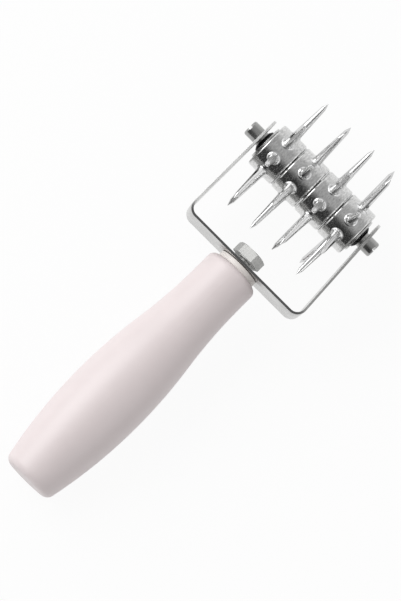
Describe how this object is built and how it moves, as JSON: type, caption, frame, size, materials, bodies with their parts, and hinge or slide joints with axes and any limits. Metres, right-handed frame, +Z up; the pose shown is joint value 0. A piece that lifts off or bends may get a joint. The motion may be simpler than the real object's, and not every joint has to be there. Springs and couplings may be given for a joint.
{
  "type": "dough docker",
  "caption": "Hand tool with a spiked roller that turns in a bent steel yoke on a plastic handle, for pricking rolled dough.",
  "frame": {"origin": "on the table under the middle of the whole tool, which lies on its lowest spikes and the back of its handle", "axes": "+X along the tool towards the roller, +Y along the roller to the user's left, +Z up from the table"},
  "size_m": [0.2288, 0.0836, 0.0693],
  "materials": {
    "handle_plastic": "satin",
    "collar_plastic": "satin",
    "insert_brass": "machined",
    "bolt_steel": "zinc plated",
    "yoke_steel": "brushed",
    "pin_steel": "turned",
    "ring_black": "semi-gloss",
    "washer_steel": "polished",
    "tube_steel": "plain",
    "bush_brass": "machined",
    "disc_plated": "polished",
    "spike_plated": "polished"
  },
  "bodies": {
    "handle_and_yoke": {"handle": "handle_plastic", "neck_collar": "collar_plastic", "threaded_insert": "insert_brass", "hex_bolt": "bolt_steel", "yoke": "yoke_steel", "pivot_pin_left": "pin_steel", "pivot_pin_right": "pin_steel", "spacer_ring_left": "ring_black", "spacer_ring_right": "ring_black"},
    "roller": {"hub_tube": "tube_steel", "bush_left": "bush_brass", "bush_right": "bush_brass", "end_washer_left": "washer_steel", "end_washer_right": "washer_steel", "disc_1": "disc_plated", "disc_2": "disc_plated", "disc_3": "disc_plated", "disc_4": "disc_plated", "disc_1_spike_1": "spike_plated", "disc_1_spike_2": "spike_plated", "disc_1_spike_3": "spike_plated", "disc_1_spike_4": "spike_plated", "disc_1_spike_5": "spike_plated", "disc_1_spike_6": "spike_plated", "disc_1_spike_7": "spike_plated", "disc_1_spike_8": "spike_plated", "disc_2_spike_1": "spike_plated", "disc_2_spike_2": "spike_plated", "disc_2_spike_3": "spike_plated", "disc_2_spike_4": "spike_plated", "disc_2_spike_5": "spike_plated", "disc_2_spike_6": "spike_plated", "disc_2_spike_7": "spike_plated", "disc_2_spike_8": "spike_plated", "disc_3_spike_1": "spike_plated", "disc_3_spike_2": "spike_plated", "disc_3_spike_3": "spike_plated", "disc_3_spike_4": "spike_plated", "disc_3_spike_5": "spike_plated", "disc_3_spike_6": "spike_plated", "disc_3_spike_7": "spike_plated", "disc_3_spike_8": "spike_plated", "disc_4_spike_1": "spike_plated", "disc_4_spike_2": "spike_plated", "disc_4_spike_3": "spike_plated", "disc_4_spike_4": "spike_plated", "disc_4_spike_5": "spike_plated", "disc_4_spike_6": "spike_plated", "disc_4_spike_7": "spike_plated", "disc_4_spike_8": "spike_plated"}
  },
  "joints": [
    {"name": "roller_spin", "type": "hinge", "parent": "handle_and_yoke", "child": "roller", "pos_m": [0.07972, -0.0017, 0.03464], "axis": [0, 1, 0], "continuous": true}
  ]
}
